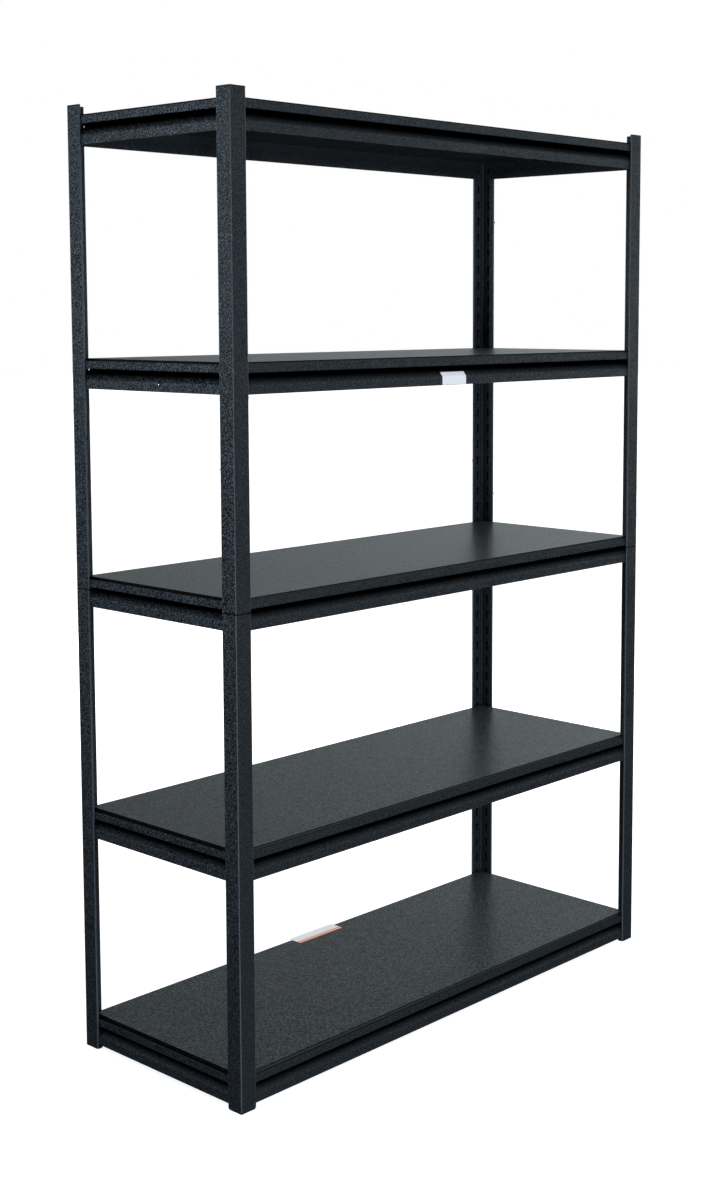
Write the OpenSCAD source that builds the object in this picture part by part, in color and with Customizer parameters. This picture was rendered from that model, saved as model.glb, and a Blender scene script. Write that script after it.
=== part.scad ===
// Boltless steel shelving unit: four angle posts, each in two halves joined by a hidden
// splice, five rectangular frames of formed beams whose riveted ends drop into keyholes in
// the posts, and a loose board lying in each frame. Plastic feet and caps close the posts.
// Origin: centre of the footprint, on the floor. X runs along the front from left to right,
// Y from the front to the back, Z up. Millimetres.

/* [Overall] */
// Length across the outside of the posts
unit_l = 1219.2; // [914.4:0.1:1524]
// Depth across the outside of the posts
unit_d = 457.2; // [304.8:0.1:609.6]
// Keyhole spaces in one half of a post
half_spaces = 24; // [24:1:26]
// Distance from one keyhole to the next
pitch = 38.1; // [37.5:0.1:39]

/* [Shelf levels] */
// Height of the lowest beams above the floor
first_z = 8; // [7:0.5:9]
// Keyhole spaces from the lowest level up to level 2
level_2 = 11; // [6:1:17]
// Keyhole spaces from the lowest level up to level 3
level_3 = 23; // [18:1:28]
// Keyhole spaces from the lowest level up to level 4
level_4 = 34; // [29:1:40]
// Keyhole spaces from the lowest level up to level 5
level_5 = 46; // [41:1:46]

/* [Posts] */
// Width of each flange of the angle
flange_w = 37; // [34:0.5:44]
// Thickness of a flange over both of its walls
flange_t = 4.4; // [4.2:0.1:5]
// Thickness of the sheet the post is folded from
post_sheet = 1; // [0.8:0.1:1.1]
// Inside radius of the fold in the angle
fold_r = 3; // [2.5:0.5:5]
// Gap where the folded sheet meets itself beside the fold
seam_gap = 0.6; // [0.3:0.1:1]

/* [Keyholes] */
// Distance from the outer corner of the post to the line of keyholes
key_inset = 21.5; // [19:0.5:24]
// Diameter of the round opening
key_head_d = 10; // [9.6:0.1:11]
// Width of the slot below the round opening
key_slot_w = 6.2; // [6:0.1:6.6]
// Drop from the centre of the round opening to the centre of the slot's end
key_drop = 12.9; // [12:0.1:14]

/* [Beams] */
// Thickness of the sheet the beams are folded from
beam_sheet = 1.2; // [1:0.1:1.4]
// Gap between a post flange and the beam behind it
beam_gap = 0.1; // [0.1:0.05:0.3]
// Height of the flat band at the foot of a beam
band_h = 17; // [15:0.5:19]
// Height of the folded edge of the ledge above the beam's foot
ledge_z = 37.8; // [35:0.1:39]
// How far the fold of the ledge stands in from the beam's face
ledge_w = 16.4; // [15:0.1:18]
// Height of the lip above the ledge
lip_h = 15; // [14:0.5:16]
// Distance from the end of the unit to the end of a beam's sheet
beam_end = 9; // [8:0.5:11]
// Distance from the end of the unit to the start of a long beam's ledge
long_cut = 26; // [25:0.5:44]
// Distance from the front or back of the unit to the start of an end beam's ledge
end_cut = 30; // [25:0.5:50]

/* [Rivets] */
// Diameter of the shank
shank_d = 5.6; // [5.2:0.1:5.8]
// Diameter of the flat head that runs inside the post
catch_d = 9.2; // [8.4:0.1:9.4]
// Diameter of the domed head on the inside of the beam
dome_d = 8.4; // [7:0.1:9]
// Height of the lower rivet above the beam's foot
rivet_z = 7.2; // [6.6:0.1:7.6]

/* [Decks] */
// Thickness of the board
deck_t = 18; // [12:0.5:19]
// Gap from the end of the unit to the edge of the board
deck_end_gap = 14.6; // [13:0.1:17]
// Gap from the front or back of the unit to the edge of the board
deck_side_gap = 14; // [13:0.1:17]

/* [Feet, caps and splices] */
// Thickness of the sole under a post
sole_t = 3; // [2:0.5:4]
// Width of each leg of the sole
sole_w = 14; // [10:0.5:20]
// Thickness of the cap on top of a post
cap_t = 3; // [2:0.5:4]
// Height of the tongue that plugs a foot or a cap into the post
tongue_h = 7; // [5:0.5:7]
// Length of the splice angle inside the post
splice_l = 120; // [90:5:180]
// Width of each leg of the splice angle
splice_w = 13; // [10:0.5:14]

/* [Labels] */
// Length of the label on the front beam of level 4
beam_label_l = 71; // [40:1:100]
// Length of the label on the board of level 1
deck_label_l = 131; // [60:1:200]
// Depth of the label on the board of level 1
deck_label_d = 38; // [20:1:40]

/* [Hidden] */
$fn = 48;

CORNERS = ["front_left", "front_right", "back_left", "back_right"];
LEVELS = [1, 2, 3, 4, 5];

level_spaces = [0, level_2, level_3, level_4, level_5];
half_h = half_spaces * pitch;
splice_z = sole_t + half_h;
post_top = splice_z + half_h;

// Post section
corner_r = post_sheet * 2;
seam_start = flange_t + fold_r;

// A rivet at rest sits just above the end of its slot
rest_gap = 0.05;
slot_r = key_slot_w / 2;
first_slot_z = first_z + rivet_z - shank_d / 2 + slot_r - rest_gap;
cut_over = 0.5;

// Beam section
beam_face = flange_t + beam_gap;
lip_top = ledge_z + lip_h;
web_angle = atan2(ledge_z - band_h, ledge_w);
hole_d = shank_d + 0.1;

// Rivet
catch_t = 1.5;
catch_clear = 0.3;
dome_t = 1.6;
shank_l = beam_face + beam_sheet - (flange_t - post_sheet - catch_clear);

// Feet, caps and splices
sole_r = 4;
tongue_clear = 0.1;
splice_t = 2;
splice_clear = 0.2;

// Boards and labels
deck_gap = 0.1;
deck_edge_r = 0.8;
label_t = 0.25;
label_low = 0.6;
label_up = 10.6;
beam_label_x = -17.8;
deck_label_x = 10;
deck_label_gap = 2;

steel_colour = [0.17, 0.18, 0.2];
board_colour = [0.33, 0.34, 0.34];
rivet_colour = [0.3, 0.3, 0.32];
zinc_colour = [0.62, 0.63, 0.65];
plastic_colour = [0.03, 0.03, 0.03];
paper_colour = [0.86, 0.87, 0.9];

function level_z(n) = first_z + level_spaces[n - 1] * pitch;
function is_right(c) = c == "front_right" || c == "back_right";
function is_back(c) = c == "back_left" || c == "back_right";

// Puts a shape drawn with the post's outer corner at the origin, and its flanges along +X and
// +Y, at one corner of the unit.
module at_corner(c) {
    mirror([is_right(c) ? 1 : 0, 0, 0])
        mirror([0, is_back(c) ? 1 : 0, 0])
            translate([-unit_l / 2, -unit_d / 2, 0]) children();
}

// Turns a shape drawn along +X into one along +Y, on the other flange.
module other_flange() {
    mirror([1, -1, 0]) children();
}

// ---- Posts ----

// One flange band between two depths, with a round free edge.
module flange_band(inner, outer, from, to) {
    round_r = (outer - inner) / 2;
    translate([from, inner]) square([to - round_r - from, outer - inner]);
    translate([to - round_r, inner + round_r]) circle(r = round_r);
}

// Outline of the folded post, filled.
module post_outline() {
    difference() {
        union() {
            flange_band(0, flange_t, 0, flange_w);
            other_flange() flange_band(0, flange_t, 0, flange_w);
            square(seam_start);
        }
        translate([seam_start, seam_start]) circle(r = fold_r);
        corner_cut(0, corner_r);
    }
}

// Space between the two walls, with the seam that opens it beside the inside fold.
module post_cavity() {
    inner = post_sheet;
    outer = flange_t - post_sheet;
    difference() {
        union() {
            flange_band(inner, outer, inner, flange_w - post_sheet);
            other_flange() flange_band(inner, outer, inner, flange_w - post_sheet);
            translate([inner, inner]) square(seam_start - inner);
        }
        translate([seam_start, seam_start]) circle(r = fold_r + post_sheet);
        corner_cut(inner, corner_r - post_sheet);
    }
    translate([seam_start, outer - cut_over]) square([seam_gap, post_sheet + 2 * cut_over]);
}

// What a fold of radius r takes off a square corner at [at, at].
module corner_cut(at, r) {
    difference() {
        translate([at - cut_over, at - cut_over]) square(r + cut_over);
        translate([at + r, at + r]) circle(r = r);
    }
}

// Keyhole through the inner wall of the flange along X; the slot's end is at height 0.
module keyhole() {
    translate([key_inset, flange_t + cut_over, 0])
        rotate([90, 0, 0])
            linear_extrude(post_sheet + 2 * cut_over) {
                circle(r = slot_r);
                translate([-slot_r, 0]) square([key_slot_w, key_drop]);
                translate([0, key_drop]) circle(d = key_head_d);
            }
}

// Half a post standing on height 0, with a keyhole in each flange at every space.
module post_half() {
    color(steel_colour)
        difference() {
            linear_extrude(half_h) difference() {
                post_outline();
                post_cavity();
            }
            for (k = [0:half_spaces - 1])
                translate([0, 0, first_slot_z - sole_t + k * pitch]) {
                    keyhole();
                    other_flange() keyhole();
                }
        }
}

module post_lower(c) {
    at_corner(c) translate([0, 0, sole_t]) post_half();
}

module post_upper(c) {
    at_corner(c) translate([0, 0, splice_z]) post_half();
}

// Small steel angle that bridges the joint, inside the corner of both halves.
module splice(c) {
    start = post_sheet + splice_clear;
    color(zinc_colour)
        at_corner(c)
            translate([start, start, splice_z - splice_l / 2])
                linear_extrude(splice_l) difference() {
                    union() {
                        square([splice_w, splice_t]);
                        square([splice_t, splice_w]);
                    }
                    corner_cut(0, post_sheet);
                }
}

// Tongue standing on height 0, between the walls of the flange along X.
module tongue() {
    linear_extrude(tongue_h)
        flange_band(post_sheet + tongue_clear, flange_t - post_sheet - tongue_clear,
                    corner_r, flange_w - post_sheet - tongue_clear);
}

// One leg of the foot: a sole under the flange and its tongue.
module foot_leg() {
    linear_extrude(sole_t) {
        square([flange_w - sole_r, sole_w]);
        translate([0, sole_r]) square([flange_w, sole_w - 2 * sole_r]);
        for (y = [sole_r, sole_w - sole_r])
            translate([flange_w - sole_r, y]) circle(r = sole_r);
    }
    translate([0, 0, sole_t]) tongue();
}

module foot(c) {
    color(plastic_colour)
        at_corner(c)
            difference() {
                union() {
                    foot_leg();
                    other_flange() foot_leg();
                }
                translate([0, 0, -cut_over])
                    linear_extrude(sole_t + 2 * cut_over) corner_cut(0, corner_r);
            }
}

// Cap on a post: a plate with the post's own outline, over two tongues.
module cap(c) {
    color(plastic_colour)
        at_corner(c)
            translate([0, 0, post_top]) {
                linear_extrude(cap_t) post_outline();
                mirror([0, 0, 1]) {
                    tongue();
                    other_flange() tongue();
                }
            }
}

// ---- Beams ----

// Section of a beam, with its face on X = 0 and its foot on Y = 0: a flat band, a web that
// slopes in and up to a folded ledge, and a lip above the ledge.
module beam_section() {
    slope = beam_sheet / cos(web_angle);
    ledge_top = ledge_z + beam_sheet;
    polygon([
        [0, 0],
        [0, band_h],
        [ledge_w, ledge_z],
        [0, ledge_z],
        [0, lip_top],
        [beam_sheet, lip_top],
        [beam_sheet, ledge_top],
        [(ledge_top - band_h + slope) / tan(web_angle), ledge_top],
        [beam_sheet, band_h + beam_sheet * tan(web_angle) - slope],
        [beam_sheet, 0]
    ]);
}

// Repeats a shape for the two rivets at each end of a beam of length l.
module at_rivets(l) {
    for (x = [key_inset, l - key_inset], z = [rivet_z, rivet_z + pitch])
        translate([x, 0, z]) children();
}

// Beam along +X whose face is on Y = beam_face and whose ends belong to a side of length l.
// The web and ledge stop short of the posts; the band and the lip run on behind the flanges.
module beam(l, cut) {
    translate([0, beam_face, 0])
        difference() {
            union() {
                translate([cut, 0, 0])
                    rotate([90, 0, 90]) linear_extrude(l - 2 * cut) beam_section();
                translate([beam_end, 0, 0])
                    cube([l - 2 * beam_end, beam_sheet, band_h]);
                translate([beam_end, 0, ledge_z])
                    cube([l - 2 * beam_end, beam_sheet, lip_h]);
            }
            at_rivets(l)
                translate([0, -cut_over, 0])
                    rotate([-90, 0, 0]) cylinder(d = hole_d, h = beam_sheet + 2 * cut_over);
        }
}

// Place children drawn along +X, face outwards, on one side of the unit at one level.
module on_front(n) {
    translate([-unit_l / 2, -unit_d / 2, level_z(n)]) children();
}

module on_back(n) {
    mirror([0, 1, 0]) on_front(n) children();
}

module on_left(n) {
    translate([-unit_l / 2, -unit_d / 2, level_z(n)]) other_flange() children();
}

module on_right(n) {
    mirror([1, 0, 0]) on_left(n) children();
}

module beam_front(n) {
    color(steel_colour) on_front(n) beam(unit_l, long_cut);
}

module beam_back(n) {
    color(steel_colour) on_back(n) beam(unit_l, long_cut);
}

module beam_left(n) {
    color(steel_colour) on_left(n) beam(unit_d, end_cut);
}

module beam_right(n) {
    color(steel_colour) on_right(n) beam(unit_d, end_cut);
}

// Rivet along +Y: a flat head between the walls of the post, a shank through the keyhole and
// the beam, and a domed head on the beam's inner face.
module rivet() {
    dome_y = beam_face + beam_sheet;
    translate([0, dome_y - shank_l, 0])
        rotate([-90, 0, 0]) {
            translate([0, 0, -catch_t]) cylinder(d = catch_d, h = catch_t);
            cylinder(d = shank_d, h = shank_l);
        }
    translate([0, dome_y, 0])
        rotate([-90, 0, 0])
            rotate_extrude() polygon([
                [0, 0],
                [dome_d / 2, 0],
                [dome_d / 2, dome_t / 3],
                [dome_d / 3, dome_t],
                [0, dome_t]
            ]);
}

// The sixteen rivets that hang one level on the posts.
module rivets(n) {
    color(rivet_colour) {
        on_front(n) at_rivets(unit_l) rivet();
        on_back(n) at_rivets(unit_l) rivet();
        on_left(n) at_rivets(unit_d) rivet();
        on_right(n) at_rivets(unit_d) rivet();
    }
}

// ---- Decks and labels ----

function deck_z(n) = level_z(n) + ledge_z + beam_sheet + deck_gap;

// Board with lightly rounded upright corners, lying on the ledges.
module deck(n) {
    size = [unit_l - 2 * deck_end_gap, unit_d - 2 * deck_side_gap];
    color(board_colour)
        translate([-size[0] / 2, -size[1] / 2, deck_z(n)])
            linear_extrude(deck_t) difference() {
                square(size);
                corner_cut(0, deck_edge_r);
                translate(size) rotate(180) corner_cut(0, deck_edge_r);
                translate([size[0], 0]) rotate(90) corner_cut(0, deck_edge_r);
                translate([0, size[1]]) rotate(270) corner_cut(0, deck_edge_r);
            }
}

// Blank paper label on the front beam of level 4, over the flat band and part of the web.
module label_beam() {
    up = [cos(web_angle), sin(web_angle)] * label_up;
    out = [-sin(web_angle), cos(web_angle)] * label_t;
    bend_z = band_h + label_t * tan(45 - web_angle / 2);
    color(paper_colour)
        on_front(4)
            translate([(unit_l - beam_label_l) / 2 + beam_label_x, beam_face, 0])
                rotate([90, 0, 90])
                    linear_extrude(beam_label_l) polygon([
                        [0, label_low],
                        [0, band_h],
                        [up[0], band_h + up[1]],
                        [up[0] + out[0], band_h + up[1] + out[1]],
                        [-label_t, bend_z],
                        [-label_t, label_low]
                    ]);
}

// Blank paper label on the back edge of the lowest board, a little of it past the edge.
module label_deck() {
    back = unit_d / 2 - deck_label_gap;
    color(paper_colour)
        translate([deck_label_x - deck_label_l / 2, back - deck_label_d, deck_z(1) + deck_t])
            cube([deck_label_l, deck_label_d, label_t]);
}

for (c = CORNERS) {
    post_lower(c);
    post_upper(c);
    splice(c);
    foot(c);
    cap(c);
}
for (n = LEVELS) {
    beam_front(n);
    beam_back(n);
    beam_left(n);
    beam_right(n);
    deck(n);
    rivets(n);
}
label_beam();
label_deck();
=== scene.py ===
"""The looks of a boltless steel shelving unit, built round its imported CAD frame."""

import math

import bmesh
import bpy
from mathutils import Matrix, Vector


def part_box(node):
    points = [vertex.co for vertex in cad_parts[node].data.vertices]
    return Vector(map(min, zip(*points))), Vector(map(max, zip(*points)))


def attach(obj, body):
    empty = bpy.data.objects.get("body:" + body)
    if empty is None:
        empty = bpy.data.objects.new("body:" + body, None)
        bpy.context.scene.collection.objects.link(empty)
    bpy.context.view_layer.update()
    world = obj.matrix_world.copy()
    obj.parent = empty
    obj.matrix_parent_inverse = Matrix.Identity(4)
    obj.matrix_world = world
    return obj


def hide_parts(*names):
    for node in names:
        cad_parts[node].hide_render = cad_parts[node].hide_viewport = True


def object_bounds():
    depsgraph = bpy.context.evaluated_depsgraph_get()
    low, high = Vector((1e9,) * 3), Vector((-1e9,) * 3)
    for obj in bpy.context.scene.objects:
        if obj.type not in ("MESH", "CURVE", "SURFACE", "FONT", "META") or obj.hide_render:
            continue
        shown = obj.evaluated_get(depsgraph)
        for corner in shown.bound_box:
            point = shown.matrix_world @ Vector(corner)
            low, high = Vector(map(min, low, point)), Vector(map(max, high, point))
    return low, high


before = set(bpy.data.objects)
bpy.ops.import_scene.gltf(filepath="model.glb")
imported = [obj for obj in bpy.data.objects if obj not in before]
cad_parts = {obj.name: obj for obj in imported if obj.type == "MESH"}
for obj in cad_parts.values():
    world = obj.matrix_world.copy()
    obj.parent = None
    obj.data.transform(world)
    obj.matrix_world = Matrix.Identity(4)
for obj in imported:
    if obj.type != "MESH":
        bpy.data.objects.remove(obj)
cad_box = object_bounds()

MM = 0.001
LEVELS = range(1, 6)
SIDES = ("front", "back", "left", "right")
LONG_SIDES = ("front", "back")
CORNERS = ("front_left", "front_right", "back_left", "back_right")

# Beam section: depth runs inwards from the beam's face, height up from its foot.
SHEET = 1.2 * MM
BAND_H = 17 * MM
LEDGE_Z = 37.8 * MM
LEDGE_W = 16.4 * MM
LIP_TOP = 52.8 * MM
LIP_BEND = 1.8 * MM
FOLD_BEND = 0.5 * MM
WEB_BEND = 6 * MM
TAB_CORNER = 2.5 * MM
# How far the ledge and the web stop short of the ends of a long beam and of an end beam.
LONG_CUT = 17 * MM
END_CUT = 21 * MM

# Rivets, measured from the beam's end and foot. The profile is (radius, height) in millimetres
# from the flat head, out between the post's walls, to the domed end inside the beam.
RIVET_IN = 12.5 * MM
RIVET_LOW = 7.2 * MM
RIVET_HIGH = 45.3 * MM
RIVET_PROFILE = (
    (0, -2.9), (4.2, -2.9), (4.6, -2.6), (4.6, -1.7), (4.4, -1.4), (2.8, -1.4), (2.8, 1.2),
    (4.0, 1.2), (4.2, 1.4), (4.05, 1.85), (3.5, 2.3), (2.6, 2.62), (1.4, 2.78), (0, 2.8),
)
RIVET_SIDES = 28

# Thickness of the labels.
PAPER = 0.2 * MM

# Edges sharper than the first angle stay crisp in the shading, and bevels ease those that are
# sharper than the second.
CRISP_ANGLE = math.radians(35)
EASED_ANGLE = math.radians(50)


# ---------------------------------------------------------------- meshes

def left_of(direction):
    return Vector((-direction.y, direction.x))


def turned(vector, angle):
    return Matrix.Rotation(angle, 2) @ vector


def bend(before, corner, after, radius, steps=7):
    """Points and left-hand normals round one rounded corner of a folded sheet's outline."""
    ahead = (corner - before).normalized()
    onward = (after - corner).normalized()
    turn = math.atan2(ahead.x * onward.y - ahead.y * onward.x, ahead.dot(onward))
    side = 1 if turn > 0 else -1
    start = corner - ahead * radius * math.tan(abs(turn) / 2)
    centre = start + left_of(ahead) * radius * side
    rows = []
    for step in range(steps + 1):
        normal = turned(left_of(ahead), turn * step / steps)
        rows.append((centre - normal * radius * side, normal))
    return rows


def rounded_tab(top, bottom, radius, steps=5):
    """Heights down a flat tab, each with how far its rounded corners pull its end back."""
    angles = [math.pi / 2 * k / steps for k in range(steps + 1)]
    upper = [(top - radius * (1 - math.cos(a)), radius * (1 - math.sin(a))) for a in angles]
    lower = [(bottom + radius * (1 - math.cos(a)), radius * (1 - math.sin(a))) for a in angles]
    return upper + lower[::-1]


def beam_rows():
    """The beam's outline from the top of its lip to its foot: point, normal, tab pull-back."""
    lip_top = Vector((0, LIP_TOP))
    lip_foot = Vector((0, LEDGE_Z))
    fold = Vector((LEDGE_W, LEDGE_Z))
    knee = Vector((0, BAND_H))
    foot = Vector((0, 0))
    inwards = Vector((1, 0))
    lip = rounded_tab(LIP_TOP, LEDGE_Z + LIP_BEND, TAB_CORNER)
    band = rounded_tab(BAND_H - WEB_BEND / 2, 0, TAB_CORNER)
    rows = [(Vector((0, z)), inwards, pull) for z, pull in lip]
    for before, corner, after, radius in (
        (lip_top, lip_foot, fold, LIP_BEND),
        (lip_foot, fold, knee, FOLD_BEND),
        (fold, knee, foot, WEB_BEND),
    ):
        rows += [(point, normal, None) for point, normal in bend(before, corner, after, radius)]
    rows += [(Vector((0, z)), inwards, pull) for z, pull in band]
    return rows


def beam_mesh(name, length, cut):
    """A formed beam along X, of even thickness, whose web and ledge stop short of its ends."""
    rows = beam_rows()
    inner = [TAB_CORNER, cut, length / 3, length * 2 / 3, length - cut, length - TAB_CORNER]
    last = len(inner) + 1
    bm = bmesh.new()
    verts = {}

    def vert(i, j, side):
        if (i, j, side) not in verts:
            point, normal, pull = rows[i]
            x = pull if j == 0 else length - pull if j == last else inner[j - 1]
            flat = point + normal * SHEET * side
            verts[i, j, side] = bm.verts.new((x, flat.x, flat.y))
        return verts[i, j, side]

    def filled(i, j):
        if not (0 <= i < len(rows) - 1 and 0 <= j < last):
            return False
        tab = rows[i][2] is not None and rows[i + 1][2] is not None
        return tab or 2 <= j < last - 2

    for i in range(len(rows) - 1):
        for j in range(last):
            if not filled(i, j):
                continue
            ring = ((i, j), (i, j + 1), (i + 1, j + 1), (i + 1, j))
            bm.faces.new([vert(*corner, 0) for corner in ring])
            bm.faces.new([vert(*corner, 1) for corner in reversed(ring)])
            beyond = ((i - 1, j), (i, j + 1), (i + 1, j), (i, j - 1))
            for k, neighbour in enumerate(beyond):
                if not filled(*neighbour):
                    a, b = ring[k], ring[(k + 1) % 4]
                    bm.faces.new([vert(*b, 0), vert(*a, 0), vert(*a, 1), vert(*b, 1)])
    return finished_mesh(name, bm)


def finished_mesh(name, bm):
    """Turns a bmesh into a smooth-shaded mesh with outward normals and crisp sharp edges."""
    bmesh.ops.recalc_face_normals(bm, faces=bm.faces)
    mesh = bpy.data.meshes.new(name)
    bm.to_mesh(mesh)
    bm.free()
    mesh.polygons.foreach_set("use_smooth", [True] * len(mesh.polygons))
    mesh.set_sharp_from_angle(angle=CRISP_ANGLE)
    return mesh


def prism(bm, outline, low, high):
    """Adds an upright solid over a closed outline, and returns its bottom and top edges."""
    rings = [[bm.verts.new((x, y, z)) for x, y in outline] for z in (low, high)]
    bm.faces.new(rings[0][::-1])
    bm.faces.new(rings[1])
    count = len(outline)
    for k in range(count):
        after = (k + 1) % count
        bm.faces.new([rings[0][k], rings[0][after], rings[1][after], rings[1][k]])
    edges = []
    for ring in rings:
        edges.append([bm.edges.get((ring[k], ring[(k + 1) % count])) for k in range(count)])
    return edges


def eased_prism(bm, outline, low, high, ease):
    """Adds an upright solid whose top and bottom rims are rounded over."""
    rims = prism(bm, outline, low, high)
    bmesh.ops.bevel(bm, geom=rims[0] + rims[1], offset=ease, segments=3,
                    profile=0.5, affect="EDGES")


def rounded_outline(corners, steps=6):
    """A closed outline through (x, y, radius) corners, each rounded."""
    points = []
    count = len(corners)
    for k in range(count):
        before, at, after = (Vector(corners[(k + d) % count][:2]) for d in (-1, 0, 1))
        points += [tuple(point) for point, _ in bend(before, at, after, corners[k][2], steps)]
    return points


def revolved(bm, profile, sides, place):
    """Adds a solid turned from (radius, height) points that start and end on the axis."""
    rings = []
    for radius, height in profile:
        if radius == 0:
            rings.append([bm.verts.new(place @ Vector((0, 0, height)))])
            continue
        angles = [2 * math.pi * k / sides for k in range(sides)]
        rings.append([
            bm.verts.new(place @ Vector((radius * math.cos(a), radius * math.sin(a), height)))
            for a in angles
        ])
    for lower, upper in zip(rings, rings[1:]):
        for k in range(sides):
            a, b = k % len(lower), (k + 1) % len(lower)
            c, d = (k + 1) % len(upper), k % len(upper)
            ring = [lower[a], lower[b], upper[c], upper[d]]
            bm.faces.new(list(dict.fromkeys(ring)))


# ---------------------------------------------------------------- materials

class Nodes:
    """Short-hand for building a node tree; any value may be a number, a tuple or a socket."""

    def __init__(self, tree):
        self.tree = tree

    def add(self, kind, inputs=None, **settings):
        node = self.tree.nodes.new(kind)
        for key, value in settings.items():
            setattr(node, key, value)
        for key, value in (inputs or {}).items():
            self.set(node, key, value)
        return node

    def set(self, node, key, value):
        if isinstance(value, bpy.types.NodeSocket):
            self.tree.links.new(value, node.inputs[key])
        else:
            node.inputs[key].default_value = value

    def coordinates(self, kind):
        return self.add("ShaderNodeTexCoord").outputs[kind]

    def geometry(self, kind):
        return self.add("ShaderNodeNewGeometry").outputs[kind]

    def along(self, vector, axis):
        return self.add("ShaderNodeSeparateXYZ", {0: vector}).outputs[axis]

    def dot(self, a, b):
        inputs = {0: a, 1: b}
        return self.add("ShaderNodeVectorMath", inputs, operation="DOT_PRODUCT").outputs["Value"]

    def fit(self, value, low, high, to_low, to_high):
        inputs = {0: value, 1: low, 2: high, 3: to_low, 4: to_high}
        return self.add("ShaderNodeMapRange", inputs).outputs[0]

    def math(self, operation, a, b=0.0):
        return self.add("ShaderNodeMath", {0: a, 1: b}, operation=operation).outputs[0]

    def mix(self, share, a, b):
        node = self.add("ShaderNodeMix", data_type="RGBA")
        self.set(node, 0, share)
        self.set(node, 6, a)
        self.set(node, 7, b)
        return node.outputs[2]


class Finish(Nodes):
    """One material's node tree, with the patterns that the finishes share."""

    def __init__(self, name):
        self.material = bpy.data.materials.new(name)
        self.material.use_nodes = True
        super().__init__(self.material.node_tree)
        self.shader = self.tree.nodes["Principled BSDF"]

    def place(self):
        """Object coordinates, shifted by a different amount for each object.

        They are turned askew, because noise is weaker on planes that follow its own grid.
        """
        where = self.coordinates("Object")
        chance = self.add("ShaderNodeObjectInfo").outputs["Random"]
        shift = self.math("MULTIPLY", chance, 7.0)
        inputs = {"Vector": where, "Location": shift, "Rotation": (0.6, 0.45, 0.8)}
        return self.add("ShaderNodeMapping", inputs).outputs[0]

    def noise(self, where, scale, detail=2.0, rough=0.5, squash=(1, 1, 1)):
        spot = where
        if squash != (1, 1, 1):
            spot = self.add("ShaderNodeMapping", {"Vector": where, "Scale": squash}).outputs[0]
        inputs = {"Vector": spot, "Scale": scale, "Detail": detail, "Roughness": rough}
        return self.add("ShaderNodeTexNoise", inputs).outputs[0]

    def cells(self, where, scale, smooth):
        inputs = {"Vector": where, "Scale": scale, "Smoothness": smooth}
        return self.add("ShaderNodeTexVoronoi", inputs, feature="SMOOTH_F1").outputs["Distance"]

    def edges(self, radius):
        """About 0 on flats, rising to 1 on edges and tight bends."""
        soft = self.add("ShaderNodeBevel", {"Radius": radius}, samples=4).outputs[0]
        return self.fit(self.dot(soft, self.geometry("Normal")), 0.98, 0.72, 0.0, 1.0)

    def facing_ends(self):
        """1 on faces that look outwards at the unit's left and right ends, 0 elsewhere."""
        normal = self.along(self.geometry("Normal"), "X")
        place = self.along(self.geometry("Position"), "X")
        return self.fit(self.math("MULTIPLY", normal, place), 0.18, 0.45, 0.0, 1.0)

    def upright_folds(self):
        """1 on rounded upright corners and edges, 0 on faces square to the unit."""
        normal = self.geometry("Normal")
        both = self.math("MULTIPLY", self.along(normal, "X"), self.along(normal, "Y"))
        return self.fit(self.math("ABSOLUTE", both), 0.08, 0.40, 0.0, 1.0)

    def open_sky(self, reach, low, high):
        """1 on open faces, falling to 0 deep in the piece's own recesses."""
        inputs = {"Distance": reach}
        node = self.add("ShaderNodeAmbientOcclusion", inputs, samples=8, only_local=True)
        return self.fit(node.outputs["AO"], low, high, 0.0, 1.0)

    def flecks(self, where, scale, low, high):
        """Sparse raised flecks: 0 over most of the surface, rising to 1 on each of them."""
        return self.fit(self.noise(where, scale, 1.6), low, high, 0.0, 1.0)

    def band(self, axis, middle, half_width):
        """1 within a flat band across one axis of the object, 0 beyond it."""
        here = self.along(self.coordinates("Object"), axis)
        away = self.math("ABSOLUTE", self.math("SUBTRACT", here, middle))
        return self.fit(away, half_width, half_width * 1.3, 1.0, 0.0)

    def bump(self, height, depth, strength):
        inputs = {"Height": height, "Distance": depth, "Strength": strength}
        return self.add("ShaderNodeBump", inputs).outputs[0]

    def finish(self, **inputs):
        """Sets the shader's inputs, whose names have _ for a space, and gives the material."""
        for key, value in inputs.items():
            self.set(self.shader, key.replace("_", " "), value)
        return self.material


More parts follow.
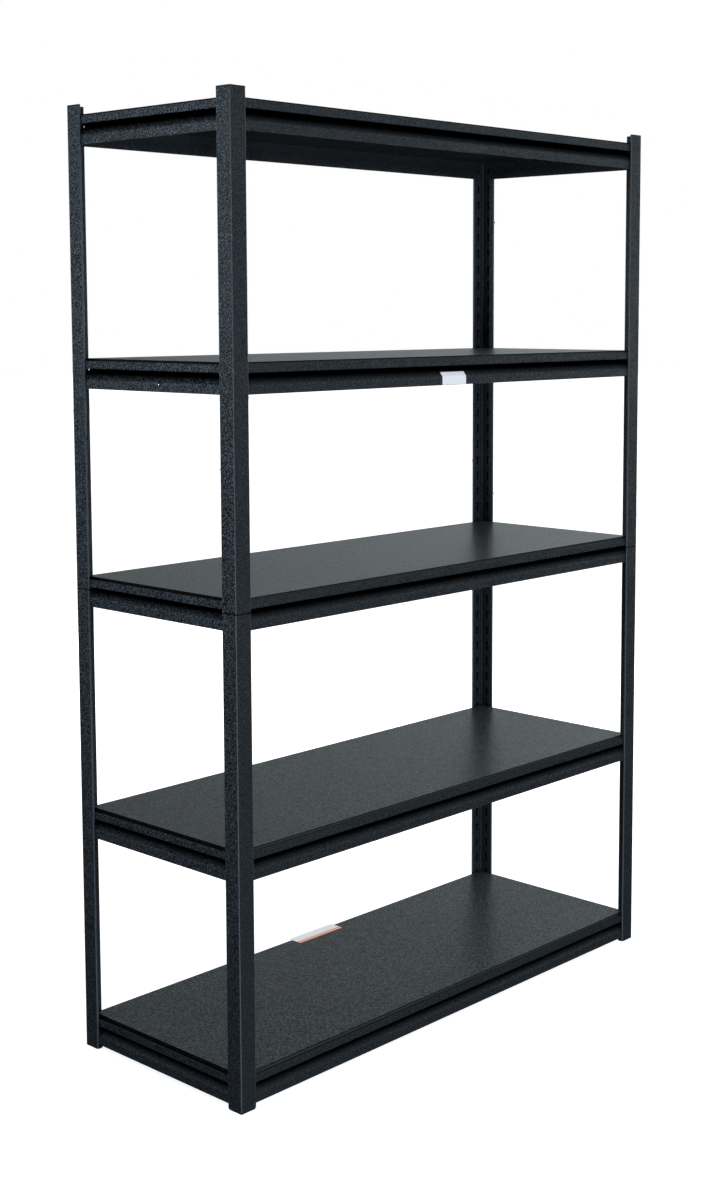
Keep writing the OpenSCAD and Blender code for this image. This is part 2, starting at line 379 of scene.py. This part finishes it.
def hammered_coat(name, reach, joint=None):
    """Charcoal hammered powder coat; painted highlights on folds, painted shade in recesses.

    Its flecks carry painted glints, brightest on the end faces and fainter there towards the
    floor. What has another wall within reach in front of it gets painted shade. A dark line runs
    round it at the height of the joint, where one half of a post ends and the other begins.
    """
    n = Finish(name)
    where = n.place()
    crest = n.flecks(where, 400, 0.47, 0.66)
    fine = n.noise(where, 600, 1)
    broad = n.noise(where, 9, 2)
    # End faces get painted glints on their flecks and painted shade between, stronger higher up.
    ends = n.facing_ends()
    upper = n.fit(n.along(n.geometry("Position"), "Z"), 0.1, 1.4, 0.0, 1.0)
    shade = n.mix(upper, (0.0135, 0.0163, 0.0196, 1), (0.0050, 0.0062, 0.0078, 1))
    painted_glint = n.mix(upper, (0.050, 0.060, 0.071, 1), (0.215, 0.252, 0.295, 1))
    field = n.mix(ends, (0.0180, 0.0216, 0.0252, 1), shade)
    fleck = n.mix(ends, (0.030, 0.036, 0.042, 1), painted_glint)
    base = n.mix(crest, field, fleck)
    faded = n.mix(n.fit(broad, 0.35, 0.7, 0.0, 0.2), base, (0.024, 0.028, 0.033, 1))
    # Pale edges: rubbed coat plus a painted highlight. Pale upright folds: a painted highlight.
    rubbed_and_highlit_edge = n.math("MULTIPLY", n.edges(1.1 * MM), n.fit(fine, 0.3, 0.6, 0.5, 1.0))
    fold = n.upright_folds()
    edge_wear_and_highlight = n.math("MAXIMUM", n.math("MULTIPLY", rubbed_and_highlit_edge, 0.8), n.math("MULTIPLY", fold, 0.9))
    colour = n.mix(edge_wear_and_highlight, faded, (0.105, 0.120, 0.138, 1))
    shine = n.fit(crest, 0.0, 1.0, 0.15, 0.6)
    # Recesses within reach are painted shade, mixed to near black.
    lit = n.open_sky(reach, 0.66, 0.97)
    colour = n.mix(lit, (0.0002, 0.0002, 0.0003, 1), colour)
    shine = n.math("MULTIPLY", n.math("MULTIPLY", lit, lit), shine)
    if joint is not None:
        dark = n.band("Z", joint, 0.9 * MM)
        colour = n.mix(dark, colour, (0.002, 0.002, 0.003, 1))
        shine = n.math("MULTIPLY", shine, n.math("SUBTRACT", 1.0, dark))
    rough = n.fit(fine, 0.3, 0.7, 0.26, 0.36)
    height = n.math("ADD", crest, n.math("MULTIPLY", fine, 0.3))
    relief = n.math("MULTIPLY", n.fit(fold, 0.0, 1.0, 1.0, 0.25), n.fit(ends, 0.0, 1.0, 0.4, 1.0))
    normal = n.bump(height, 0.5 * MM, relief)
    return n.finish(Base_Color=colour, Roughness=rough, Normal=normal, Specular_IOR_Level=shine)


def board_face():
    """Dark grey overlay on particleboard: pebbled grain, a little dust and a dull sheen."""
    n = Finish("board_face")
    where = n.place()
    crest = n.flecks(where, 250, 0.47, 0.67)
    grain = n.noise(where, 620, 1)
    flakes = n.noise(where, 60, 3, 0.6, (1, 2.2, 1))
    cloud = n.noise(where, 5, 2)
    base = n.mix(crest, (0.009, 0.0112, 0.0118, 1), (0.132, 0.155, 0.161, 1))
    mottled = n.mix(n.fit(flakes, 0.4, 0.7, 0.0, 0.3), base, (0.030, 0.036, 0.038, 1))
    dusty = n.mix(n.fit(cloud, 0.4, 0.7, 0.0, 0.3), mottled, (0.036, 0.042, 0.044, 1))
    rough = n.fit(grain, 0.3, 0.7, 0.28, 0.36)
    blotch = n.math("ADD", n.math("MULTIPLY", crest, 0.35), n.fit(flakes, 0.35, 0.65, 0.0, 0.65))
    shine = n.fit(blotch, 0.0, 1.0, 0.25, 0.80)
    normal = n.bump(n.math("ADD", crest, n.math("MULTIPLY", grain, 0.3)), 0.25 * MM, 0.8)
    return n.finish(Base_Color=dusty, Roughness=rough, Normal=normal, Specular_IOR_Level=shine)


def board_edge(top):
    """Board edge: grey on the long sides, near black on the ends, dark under its top rim."""
    n = Finish("board_edge")
    chips = n.noise(n.place(), 420, 2)
    side = n.mix(chips, (0.020, 0.024, 0.026, 1), (0.050, 0.058, 0.062, 1))
    chipped = n.fit(chips, 0.58, 0.70, 0.0, 1.0)
    end = n.mix(chipped, (0.0015, 0.0017, 0.002, 1), (0.050, 0.056, 0.060, 1))
    colour = n.mix(n.facing_ends(), side, end)
    rim = n.band("Z", top - 1.1 * MM, 0.8 * MM)
    dark = n.mix(rim, colour, (0.001, 0.0012, 0.0014, 1))
    bumps = n.bump(chips, 0.3 * MM, 0.8)
    return n.finish(Base_Color=dark, Roughness=0.6, Normal=bumps, Specular_IOR_Level=0.15)


def rivet_steel():
    """Dark plated steel with fine turning marks."""
    n = Finish("rivet_steel")
    marks = n.noise(n.place(), 900, 3)
    share = n.fit(marks, 0.3, 0.7, 0.0, 1.0)
    colour = n.mix(share, (0.03, 0.032, 0.036, 1), (0.10, 0.105, 0.11, 1))
    normal = n.bump(marks, 0.05 * MM, 0.5)
    return n.finish(Base_Color=colour, Roughness=0.35, Metallic=0.6, Normal=normal)


def zinc_plate():
    """Dull zinc plating with its faint spangle."""
    n = Finish("zinc_plate")
    where = n.place()
    spangle = n.fit(n.cells(where, 120, 0.2), 0.1, 0.7, 0.0, 1.0)
    colour = n.mix(spangle, (0.30, 0.31, 0.33, 1), (0.46, 0.47, 0.49, 1))
    rough = n.fit(n.noise(where, 200), 0.3, 0.7, 0.35, 0.55)
    return n.finish(Base_Color=colour, Roughness=rough, Metallic=1.0)


def moulded_plastic():
    """Black moulded plastic with a fine matt grain, scuffed at its edges."""
    n = Finish("moulded_plastic")
    where = n.place()
    grain = n.noise(where, 1400, 3)
    scuff = n.math("MULTIPLY", n.edges(0.8 * MM), n.noise(where, 300))
    colour = n.mix(scuff, (0.0085, 0.0098, 0.0112, 1), (0.036, 0.038, 0.041, 1))
    rough = n.fit(grain, 0.3, 0.7, 0.5, 0.68)
    return n.finish(Base_Color=colour, Roughness=rough, Normal=n.bump(grain, 0.06 * MM, 0.5))


def label_paper(name, tint, glow, stripe=None):
    """Blank paper with a fine fibre; stripe is (axis, lowest, highest, colour) of one band.

    A little emission, a painted light, keeps it pale in the shade.
    """
    n = Finish(name)
    where = n.coordinates("Object")
    fibre = n.noise(where, 700, 4, 0.6)
    pale = tuple(min(1.0, c * 1.08) for c in tint[:3]) + (1,)
    colour = n.mix(n.fit(fibre, 0.3, 0.7, 0.0, 1.0), tint, pale)
    if stripe:
        axis, low, high, band = stripe
        across = n.along(where, axis)
        above = n.math("GREATER_THAN", across, low)
        below = n.math("LESS_THAN", across, high)
        colour = n.mix(n.math("MULTIPLY", above, below), colour, band)
    normal = n.bump(fibre, 0.04 * MM, 0.4)
    # Painted light: the paper emits a little light of its own.
    return n.finish(Base_Color=colour, Roughness=0.62, Normal=normal,
                    Emission_Color=colour, Emission_Strength=glow)


# ---------------------------------------------------------------- pieces

def piece(name, mesh, body, slot, material, *nodes, place=None, bevel=0.0):
    """Puts a finished mesh in the scene in the place of the CAD nodes it stands for.

    A mesh that has its materials already keeps them.
    """
    obj = bpy.data.objects.new(name, mesh)
    bpy.context.scene.collection.objects.link(obj)
    if place is not None:
        obj.matrix_world = place
    if not mesh.materials:
        mesh.materials.append(material)
    if bevel:
        soften = obj.modifiers.new("soft_edges", "BEVEL")
        soften.width = bevel
        soften.segments = 2
        soften.limit_method = "ANGLE"
        soften.angle_limit = EASED_ANGLE
    obj.modifiers.new("even_normals", "WEIGHTED_NORMAL").keep_sharp = True
    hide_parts(*nodes)
    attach(obj, body)


def beam_place(side, level):
    """Where a beam drawn along X, face on Y = 0, stands on one side of the unit."""
    low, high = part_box(f"beam_{side}_{level}")
    corner, angle = {
        "front": ((low.x, low.y), 0),
        "back": ((high.x, high.y), 180),
        "left": ((low.x, high.y), -90),
        "right": ((high.x, low.y), 90),
    }[side]
    turn = Matrix.Rotation(math.radians(angle), 4, "Z")
    return Matrix.Translation((*corner, low.z)) @ turn


def beam_length(side):
    low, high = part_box(f"beam_{side}_1")
    return high.x - low.x if side in LONG_SIDES else high.y - low.y


def build_beams(coat):
    long_mesh = beam_mesh("long_beam", beam_length("front"), LONG_CUT)
    end_mesh = beam_mesh("end_beam", beam_length("left"), END_CUT)
    for level in LEVELS:
        for side in SIDES:
            mesh = long_mesh if side in LONG_SIDES else end_mesh
            piece(f"formed_beam_{side}_{level}", mesh, f"frame_{level}", "coat", coat,
                  f"beam_{side}_{level}", place=beam_place(side, level), bevel=0.2 * MM)


def build_rivets(steel):
    profile = [(radius * MM, height * MM) for radius, height in RIVET_PROFILE]
    point_in = Matrix.Rotation(math.radians(-90), 4, "X")
    for level in LEVELS:
        bm = bmesh.new()
        for side in SIDES:
            for x in (RIVET_IN, beam_length(side) - RIVET_IN):
                for z in (RIVET_LOW, RIVET_HIGH):
                    spot = beam_place(side, level) @ Matrix.Translation((x, 0, z)) @ point_in
                    revolved(bm, profile, RIVET_SIDES, spot)
        piece(f"domed_rivets_{level}", finished_mesh(f"rivets_mesh_{level}", bm),
              f"frame_{level}", "rivet", steel, f"rivets_{level}")


def build_boards():
    """Loose boards with eased edges, one mesh for all five, drawn with a corner at the origin."""
    ease = 0.7 * MM
    corner = 1.5 * MM
    low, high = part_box("deck_1")
    size = high - low
    bm = bmesh.new()
    eased_prism(bm, rounded_outline([
        (0, 0, corner), (size.x, 0, corner), (size.x, size.y, corner), (0, size.y, corner),
    ]), 0, size.z, ease)
    mesh = finished_mesh("board_mesh", bm)
    mesh.materials.append(board_face())
    mesh.materials.append(board_edge(size.z))
    for face in mesh.polygons:
        face.material_index = 0 if abs(face.normal.z) > 0.9 else 1
    for level in LEVELS:
        place = Matrix.Translation(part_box(f"deck_{level}")[0])
        piece(f"shelf_board_{level}", mesh, f"board_{level}", "board", None,
              f"deck_{level}", place=place)


def corner_place(name, low, high):
    """Takes a shape drawn with the post's outer corner at the origin to one corner of the unit."""
    right, back = name.endswith("right"), name.startswith("back")
    at = Vector((high.x if right else low.x, high.y if back else low.y, low.z))
    return Matrix.Translation(at) @ Matrix.Diagonal((-1 if right else 1, -1 if back else 1, 1, 1))


def add_tongues(bm, leg, low, high):
    """Adds the two ribs, one to a flange, that plug between the walls of the post."""
    start = 3 * MM
    inset = 1.1 * MM
    thick = 2.2 * MM
    corner = 0.6 * MM
    ring = [(start, inset), (leg - inset, inset),
            (leg - inset, inset + thick), (start, inset + thick)]
    for outline in (ring, [(y, x) for x, y in reversed(ring)]):
        prism(bm, rounded_outline([(x, y, corner) for x, y in outline]), low, high)


def add_angle_plate(bm, leg, width, radii, low, high, ease):
    """Adds an L-shaped plate with eased rims; radii are for its heel, leg ends and inner corner."""
    heel, end, inner = radii
    outline = rounded_outline([
        (0, 0, heel), (leg, 0, end), (leg, width, end),
        (width, width, inner), (width, leg, end), (0, leg, end),
    ])
    eased_prism(bm, outline, low, high, ease)


def add_foot(bm, leg, height):
    """An L-shaped sole, with two tongues up into the post."""
    sole_h = 3 * MM
    add_angle_plate(bm, leg, 14 * MM, (2 * MM, 4 * MM, 1.5 * MM), 0, sole_h, 0.6 * MM)
    add_tongues(bm, leg, sole_h, height)


def add_cap(bm, leg, height):
    """A plate that carries the post's outline on up, with two tongues down into the post."""
    plate_z = height - 3 * MM
    add_angle_plate(bm, leg, 4.4 * MM, (2 * MM, 2 * MM, 3 * MM), plate_z, height, 0.5 * MM)
    add_tongues(bm, leg, 0, plate_z)


def build_mouldings(kind, add_shape, material):
    """Puts one foot or one cap on each post."""
    for name in CORNERS:
        node = f"{kind}_{name}"
        low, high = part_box(node)
        bm = bmesh.new()
        add_shape(bm, high.x - low.x, high.z - low.z)
        bmesh.ops.transform(bm, matrix=corner_place(name, low, high), verts=bm.verts)
        piece(f"moulded_{node}", finished_mesh(f"{kind}_mesh_{name}", bm),
              "posts", "foot_plastic", material, node)


def paper_sheet(name, path, low_x, high_x, columns=24):
    """A sheet of paper between two places along X, over a path of (y, z) points and normals."""
    bm = bmesh.new()
    xs = [low_x + (high_x - low_x) * k / columns for k in range(columns + 1)]
    layers = []
    for side in (0, 1):
        layer = []
        for point, normal in path:
            at = point + normal * PAPER * side
            layer.append([bm.verts.new((x, at.x, at.y)) for x in xs])
        layers.append(layer)
    rows = len(path)
    for i in range(rows - 1):
        for j in range(columns):
            for layer in layers:
                bm.faces.new([layer[i][j], layer[i][j + 1], layer[i + 1][j + 1], layer[i + 1][j]])
    rim = [(i, 0) for i in range(rows)]
    rim += [(rows - 1, j) for j in range(1, columns + 1)]
    rim += [(i, columns) for i in range(rows - 2, -1, -1)]
    rim += [(0, j) for j in range(columns - 1, 0, -1)]
    for k in range(len(rim)):
        (a, b), (c, d) = rim[k], rim[(k + 1) % len(rim)]
        bm.faces.new([layers[0][a][b], layers[0][c][d], layers[1][c][d], layers[1][a][b]])
    return finished_mesh(name, bm)


def build_beam_label():
    """Blank label wrapped over the knee of the front beam, from the web down onto the band."""
    low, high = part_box("label_beam")
    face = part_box("beam_front_4")[0].y
    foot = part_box("beam_front_4")[0].z
    knee = Vector((0, BAND_H))
    web = (Vector((LEDGE_W, LEDGE_Z)) - knee).normalized()
    top = knee + web * (high.z - foot - BAND_H) / web.y
    bottom = Vector((0, low.z - foot))
    rows = [(top, left_of(web))]
    rows += [(point, -normal) for point, normal in bend(top, knee, bottom, WEB_BEND)]
    rows += [(bottom, Vector((-1, 0)))]
    corner = Vector((face, foot))
    gap = 0.05 * MM
    path = [(corner + point + outward * gap, outward) for point, outward in rows]
    mesh = paper_sheet("beam_label_mesh", path, low.x, high.x)
    paper = label_paper("label_paper_blue_white", (0.84, 0.85, 0.92, 1), 0.06)
    piece("paper_label_beam", mesh, "frame_4", "label_paper", paper, "label_beam")


def build_board_label():
    """Blank label with one coloured band, a little of it drooping past the lowest board."""
    low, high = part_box("label_deck")
    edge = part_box("deck_1")[1].y
    gap = 0.02 * MM
    rest_z = low.z + gap
    droop = 1.2 * MM
    band_w = 11 * MM
    steps = 10
    upwards = Vector((0, 1))
    path = [(Vector((low.y, rest_z)), upwards)]
    for k in range(steps + 1):
        share = k / steps
        y = edge + (high.y - edge) * share
        path.append((Vector((y, rest_z - droop * share * share)), upwards))
    mesh = paper_sheet("board_label_mesh", path, low.x, high.x)
    band = ("Y", low.y - 1 * MM, low.y + band_w, (0.86, 0.42, 0.33, 1))
    paper = label_paper("label_paper_banded", (0.86, 0.87, 0.88, 1), 0.28, band)
    piece("paper_label_board", mesh, "board_1", "label_paper", paper, "label_deck")


def paint_cad_nodes(coat, zinc):
    """Posts and splices keep their CAD shape and take their finish."""
    for name in CORNERS:
        for node, material in (
            (f"post_lower_{name}", coat),
            (f"post_upper_{name}", coat),
            (f"splice_{name}", zinc),
        ):
            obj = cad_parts[node]
            obj.data.materials.clear()
            obj.data.materials.append(material)


# ---------------------------------------------------------------- studio

# The camera's heading, from its own place towards the unit, and the way to its right, on plan.
BEHIND = Vector((0.736, 0.677, 0.0))
RIGHTWARDS = Vector((0.677, -0.736, 0.0))


def build_world():
    """White to the camera; to all else a soft studio, brightest low down beyond the unit."""
    world = bpy.data.worlds.new("studio")
    world.use_nodes = True
    bpy.context.scene.world = world
    n = Nodes(world.node_tree)
    n.tree.nodes.clear()
    way = n.coordinates("Generated")
    height = n.along(way, "Z")
    behind = n.dot(way, BEHIND)
    facing = n.fit(behind, 0.1, 0.6, 0.0, 1.0)
    across = n.fit(n.dot(way, RIGHTWARDS), -0.2, 0.25, 0.55, 1.42)
    above = n.fit(height, -0.08, 0.01, 0.0, 0.118)
    fall = n.math("DIVIDE", above, n.math("ADD", height, 0.06))
    backdrop = n.math("MULTIPLY", n.math("MULTIPLY", facing, across), fall)
    aside = n.fit(behind, 0.6, 0.1, 0.0, 1.0)
    ceiling = n.fit(height, 0.08, 0.25, 0.0, 0.3)
    inputs = {0: aside, 1: ceiling, 2: backdrop}
    glow = n.add("ShaderNodeMath", inputs, operation="MULTIPLY_ADD").outputs[0]
    soft = n.add("ShaderNodeBackground", {"Color": (0.87, 0.96, 1.0, 1), "Strength": glow})
    plain = n.add("ShaderNodeBackground", {"Color": (1, 1, 1, 1), "Strength": 1.0})
    seen = n.add("ShaderNodeLightPath").outputs["Is Camera Ray"]
    choice = n.add("ShaderNodeMixShader", {0: seen, 1: soft.outputs[0], 2: plain.outputs[0]})
    n.add("ShaderNodeOutputWorld", {"Surface": choice.outputs[0]})


def build_floor():
    """Plain pale floor that fades into the white backdrop, with the unit's soft shade on it."""
    bm = bmesh.new()
    half_width = 30
    bmesh.ops.create_grid(bm, x_segments=8, y_segments=8, size=half_width)
    mesh = finished_mesh("floor_mesh", bm)
    floor = bpy.data.objects.new("studio_floor", mesh)
    floor.location.z = cad_box[0].z
    bpy.context.scene.collection.objects.link(floor)
    n = Finish("pale_floor")
    where = n.coordinates("Object")
    reach = n.add("ShaderNodeVectorMath", {0: where}, operation="LENGTH").outputs["Value"]
    cloud = n.noise(where, 0.6, 2)
    colour = n.mix(cloud, (0.90, 0.90, 0.90, 1), (0.92, 0.92, 0.92, 1))
    glow = n.fit(reach, 0.5, 3.0, 0.80, 1.05)
    n.finish(Base_Color=colour, Roughness=0.9, Emission_Color=(1, 1, 1, 1),
             Emission_Strength=glow, Specular_IOR_Level=0.0)
    mesh.materials.append(n.material)
    floor.visible_diffuse = False
    floor.visible_glossy = False


def add_softbox(name, at, target, size, watts, tint, mirrored=True):
    """Adds a rectangular area light; shiny surfaces mirror it only if mirrored is true."""
    lamp = bpy.data.lights.new(name, "AREA")
    lamp.shape = "RECTANGLE"
    lamp.size, lamp.size_y = size
    lamp.energy = watts
    lamp.color = tint
    obj = bpy.data.objects.new(name, lamp)
    obj.location = at
    obj.rotation_euler = (Vector(target) - Vector(at)).to_track_quat("-Z", "Y").to_euler()
    obj.visible_glossy = mirrored
    bpy.context.scene.collection.objects.link(obj)


def build_lights():
    middle = (cad_box[0] + cad_box[1]) / 2
    low = Vector((middle.x, middle.y, 0.5))
    high = Vector((middle.x, middle.y, 1.6))
    neutral, cool, blue = (0.96, 0.98, 1.0), (0.82, 0.92, 1.0), (0.68, 0.85, 1.0)
    add_softbox("softbox_front", (0.9, -3.9, 1.5), middle, (2.4, 2.4), 78, neutral, False)
    add_softbox("softbox_back", (0.9, 4.3, 1.2), middle, (2.4, 1.8), 90, neutral, False)
    add_softbox("softbox_right", (4.4, 0.6, 1.2), middle, (1.8, 1.8), 70, neutral, False)
    add_softbox("softbox_camera_side", (-3.1, -3.2, 0.5), low, (0.9, 1.2), 84, cool, False)
    add_softbox("strip_left_back", (-3.2, 2.7, 1.9), high, (0.4, 1.4), 18, blue)


def build_camera():
    """Stands at the front left, a little above the second board from the top."""
    at = Vector((-2.6416, -2.4904, 1.4497))
    heading, tilt, roll = (math.radians(a) for a in (47.383, -5.904, -0.105))
    lens = 52.308
    lens_shift = (-0.0385, -0.0908)
    ahead = Vector((
        math.sin(heading) * math.cos(tilt),
        math.cos(heading) * math.cos(tilt),
        math.sin(tilt),
    ))
    level = Vector((math.cos(heading), -math.sin(heading), 0))
    upright = level.cross(ahead)
    right = level * math.cos(roll) + upright * math.sin(roll)
    up = upright * math.cos(roll) - level * math.sin(roll)
    data = bpy.data.cameras.new("camera")
    data.sensor_width = 36
    data.lens = lens
    data.shift_x, data.shift_y = lens_shift
    camera = bpy.data.objects.new("camera", data)
    axes = Matrix((right, up, -ahead)).transposed().to_4x4()
    camera.matrix_world = Matrix.Translation(at) @ axes
    bpy.context.scene.collection.objects.link(camera)
    bpy.context.scene.camera = camera


build_beams(hammered_coat("beam_coat", 28 * MM))
build_rivets(rivet_steel())
build_boards()
plastic = moulded_plastic()
build_mouldings("foot", add_foot, plastic)
build_mouldings("cap", add_cap, plastic)
build_beam_label()
build_board_label()
post_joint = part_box("post_lower_front_left")[1].z
paint_cad_nodes(hammered_coat("post_coat", 6 * MM, joint=post_joint), zinc_plate())
build_world()
build_floor()
build_lights()
build_camera()
bpy.context.scene.view_settings.view_transform = "Standard"
